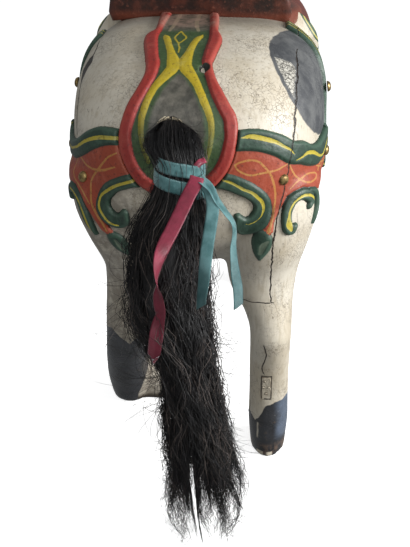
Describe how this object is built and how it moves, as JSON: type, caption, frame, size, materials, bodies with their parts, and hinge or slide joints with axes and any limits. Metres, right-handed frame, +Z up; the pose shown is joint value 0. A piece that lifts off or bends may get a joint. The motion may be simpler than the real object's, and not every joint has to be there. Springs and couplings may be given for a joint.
{
  "type": "carousel horse",
  "caption": "Small carved and painted wooden carousel horse with a saddle, relief harness, horsehair tail and satin ribbons, standing on its hooves.",
  "frame": {"origin": "on the floor, under the middle of the object's bounding box", "axes": "+Y towards the horse's head, +Z up, +X towards the horse's right side"},
  "size_m": [0.3652, 1.203, 0.934],
  "materials": {
    "painted_wood": "satin",
    "horsehair": "satin",
    "teal_satin": "satin",
    "crimson_satin": "satin",
    "stud_brass": "satin",
    "painted_plate": "matte"
  },
  "bodies": {
    "root": {"carved_horse": "painted_wood", "horsehair_tail": "horsehair", "teal_ribbon": "teal_satin", "crimson_ribbon": "crimson_satin", "repair_plate": "painted_plate", "plate_screw_1": "painted_plate", "plate_screw_2": "painted_plate", "plate_screw_3": "painted_plate", "plate_screw_4": "painted_plate", "breeching_stud_right": "stud_brass", "breeching_stud_left": "stud_brass", "flank_stud_right": "stud_brass", "flank_stud_left": "stud_brass", "collar_stud_right": "stud_brass", "collar_stud_left": "stud_brass", "hip_stud_right": "stud_brass", "hip_stud_left": "stud_brass"}
  },
  "joints": []
}
